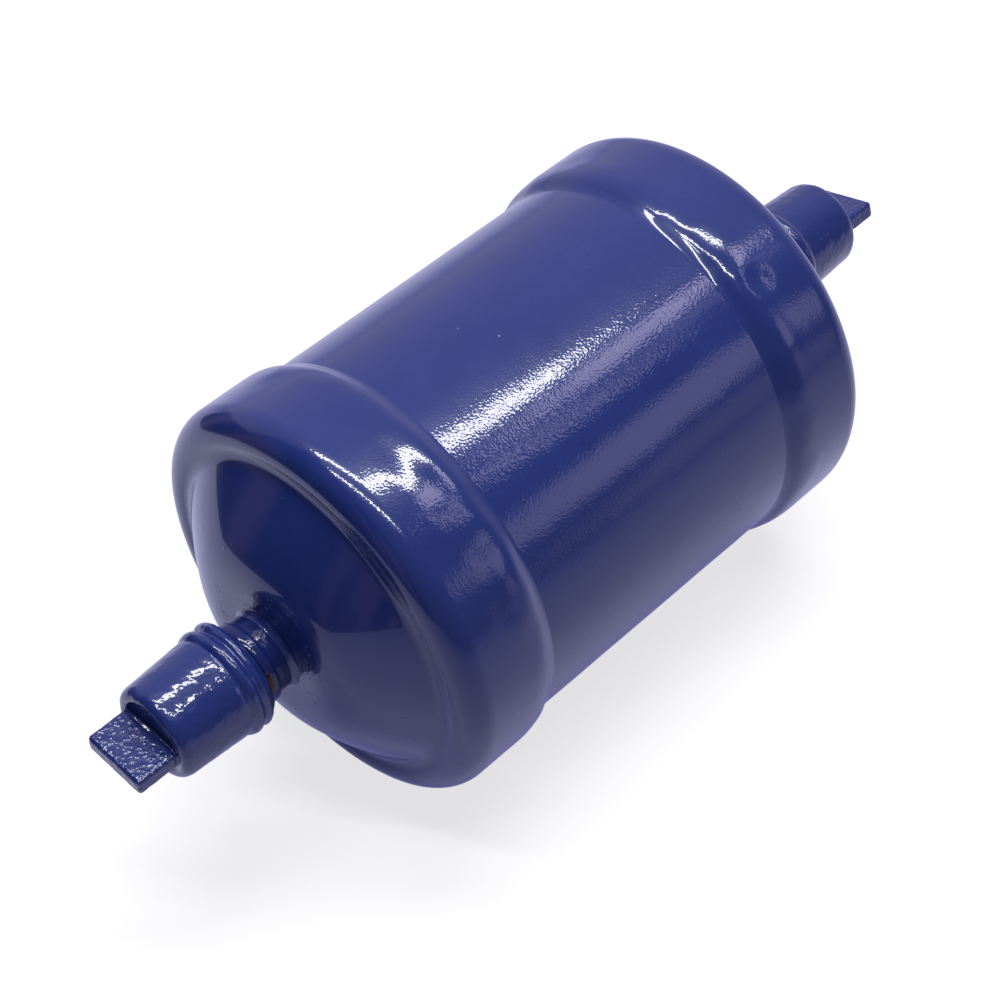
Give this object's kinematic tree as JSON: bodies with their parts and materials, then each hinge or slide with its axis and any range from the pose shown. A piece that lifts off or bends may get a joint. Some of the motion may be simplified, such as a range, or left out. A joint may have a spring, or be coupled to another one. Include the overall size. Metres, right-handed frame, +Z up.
{
  "type": "filter drier",
  "caption": "Cylindrical welded-steel liquid line filter drier with domed end caps, flare connections and push-on seal caps, painted dark blue.",
  "frame": {"origin": "middle of the shell, on its axis", "axes": "+X along the shell's axis towards the outlet connection, +Z up, square to the axis; the pull tab on the inlet cap lies nearly level"},
  "size_m": [0.1606, 0.0668, 0.0668],
  "materials": {
    "shell_paint": "gloss dark blue baked enamel over steel",
    "fitting_brass": "machined, painted over on the neck",
    "cap_plastic": "soft moulded plastic, painted over with the shell",
    "spring_steel": "drawn spring wire",
    "plate_steel": "punched and zinc plated sheet",
    "pad_fibre": "bonded glass fibre felt",
    "desiccant_beads": "packed round beads",
    "screen_mesh": "fine woven wire cloth"
  },
  "bodies": {
    "drier": {"shell_barrel": "shell_paint", "inlet_end_cap": "shell_paint", "outlet_end_cap": "shell_paint", "inlet_girth_weld": "shell_paint", "outlet_girth_weld": "shell_paint", "inlet_flare_fitting": "fitting_brass", "outlet_flare_fitting": "fitting_brass", "inlet_neck_weld": "shell_paint", "outlet_neck_weld": "shell_paint", "pressure_spring": "spring_steel", "pressure_plate": "plate_steel", "support_plate": "plate_steel", "inlet_filter_pad": "pad_fibre", "outlet_filter_pad": "pad_fibre", "desiccant_core": "desiccant_beads", "outlet_screen": "screen_mesh"},
    "inlet_cap": {"inlet_seal_cap": "cap_plastic"},
    "outlet_cap": {"outlet_seal_cap": "cap_plastic"}
  },
  "joints": [
    {"name": "inlet_cap_slide", "type": "slide", "parent": "drier", "child": "inlet_cap", "axis": [-1, 0, 0], "range_m": [0, 0.025]},
    {"name": "outlet_cap_slide", "type": "slide", "parent": "drier", "child": "outlet_cap", "axis": [1, 0, 0], "range_m": [0, 0.025]}
  ]
}
